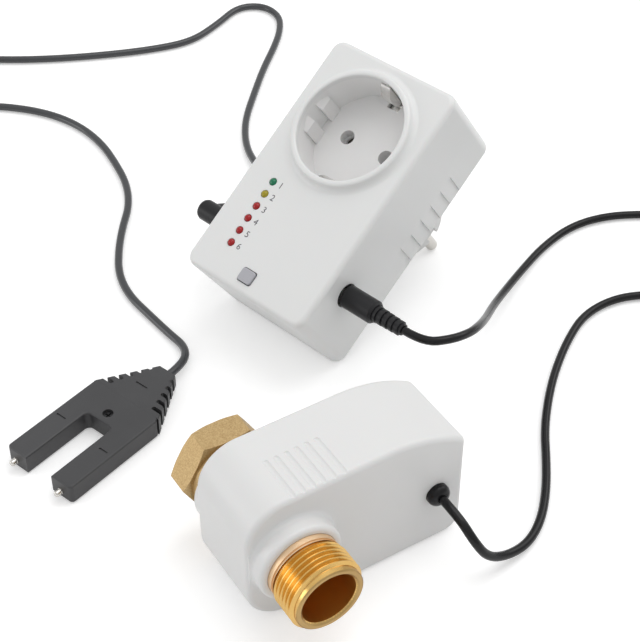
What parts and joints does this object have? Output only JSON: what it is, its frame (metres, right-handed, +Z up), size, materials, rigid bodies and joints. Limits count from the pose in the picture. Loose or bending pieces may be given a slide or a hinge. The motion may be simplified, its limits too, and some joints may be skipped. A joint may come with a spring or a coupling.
{
  "type": "water leak shutoff kit",
  "caption": "Plug-in leak controller with through socket, motor-driven ball valve for a threaded pipe, and a fork-shaped water sensor, joined by two thin cords.",
  "frame": {"origin": "on the floor, on the flat underside of the valve, right under the crossing of the pipe axis and the stem axis", "axes": "+Y along the pipe from the male thread to the female thread, +X from the pipe towards the gear motor, +Z up"},
  "size_m": [0.323, 0.4032, 0.0894],
  "materials": {
    "white_plastic": "fine satin off-white",
    "grey_plastic": "satin grey",
    "black_plastic": "satin black",
    "dark_plastic": "matt",
    "relay_plastic": "glossy blue",
    "gear_plastic": "natural acetal",
    "white_seal": "waxy white fluoropolymer",
    "circuit_board": "green solder resist",
    "led_green": "clear dark green, unlit",
    "led_yellow": "clear yellow, unlit",
    "led_red": "clear dark red, unlit",
    "black_rubber": "soft satin",
    "grey_cord": "glossy dark grey sheath",
    "black_cord": "glossy black sheath",
    "brass": "machined and forged brass",
    "plated_brass": "nickel plated",
    "chromed_ball": "polished",
    "spring_steel": "bright rolled"
  },
  "bodies": {
    "housings": {"controller_front_shell": "white_plastic", "controller_rear_shell": "white_plastic", "plug_body": "white_plastic", "socket_insert": "white_plastic", "socket_floor": "white_plastic", "earth_clip": "spring_steel", "socket_contacts": "brass", "plug_pin_left": "plated_brass", "plug_pin_right": "plated_brass", "plug_earth_strips": "spring_steel", "controller_board": "circuit_board", "transformer": "dark_plastic", "relay": "relay_plastic", "buzzer": "dark_plastic", "capacitor": "dark_plastic", "led_green": "led_green", "led_yellow": "led_yellow", "led_red": "led_red", "button_switch": "dark_plastic", "jack_socket_left": "dark_plastic", "jack_socket_right": "dark_plastic", "controller_screws": "spring_steel", "valve_upper_shell": "white_plastic", "valve_lower_shell": "white_plastic", "valve_body": "brass", "end_piece": "brass", "seat_rings": "white_seal", "stem_seals": "black_rubber", "gland_nut": "brass", "gear_frame_front": "spring_steel", "gear_frame_rear": "spring_steel", "idler_axle": "spring_steel", "gear_motor": "spring_steel", "position_board": "circuit_board", "cable_grommet": "black_rubber", "valve_screws": "spring_steel", "sensor_top_shell": "black_plastic", "sensor_bottom_shell": "black_plastic", "sensor_strain_relief": "black_rubber", "probe_pin_left": "plated_brass", "probe_pin_right": "plated_brass", "sensor_board": "circuit_board", "sensor_screw": "spring_steel", "sensor_plug": "black_plastic", "sensor_plug_contact": "plated_brass", "valve_plug": "black_plastic", "valve_plug_contact": "plated_brass", "sensor_cord_plug_end": "grey_cord", "sensor_cord_coil": "grey_cord", "sensor_cord_sensor_end": "grey_cord", "valve_cord_plug_end": "black_cord", "valve_cord_coil": "black_cord", "valve_cord_valve_end": "black_cord"},
    "button": {"button_cap": "grey_plastic", "switch_plunger": "dark_plastic"},
    "ball_drive": {"ball": "chromed_ball", "stem": "brass", "output_gear": "gear_plastic"},
    "idler": {"idler_gear": "gear_plastic"},
    "pinion": {"motor_pinion": "brass"}
  },
  "joints": [
    {"name": "button_press", "type": "slide", "parent": "housings", "child": "button", "axis": [0.5439, 0.1447, -0.8266], "range_m": [0, 0.0005], "stiffness_N_per_m": 800, "springref_m": -0.001},
    {"name": "ball_turn", "type": "hinge", "parent": "housings", "child": "ball_drive", "pos_m": [0, 0, 0.028], "axis": [1, 0, 0], "range_deg": [0, 90]},
    {"name": "idler_turn", "type": "hinge", "parent": "housings", "child": "idler", "pos_m": [0, 0, 0.03955], "axis": [1, 0, 0], "range_deg": [-226, 1]},
    {"name": "pinion_turn", "type": "hinge", "parent": "housings", "child": "pinion", "pos_m": [0, 0, 0.028], "axis": [1, 0, 0], "range_deg": [-2, 564]}
  ],
  "couplings": [
    {"joint": "idler_turn", "follows": "ball_turn", "ratio": -2.5},
    {"joint": "pinion_turn", "follows": "ball_turn", "ratio": 6.25}
  ]
}
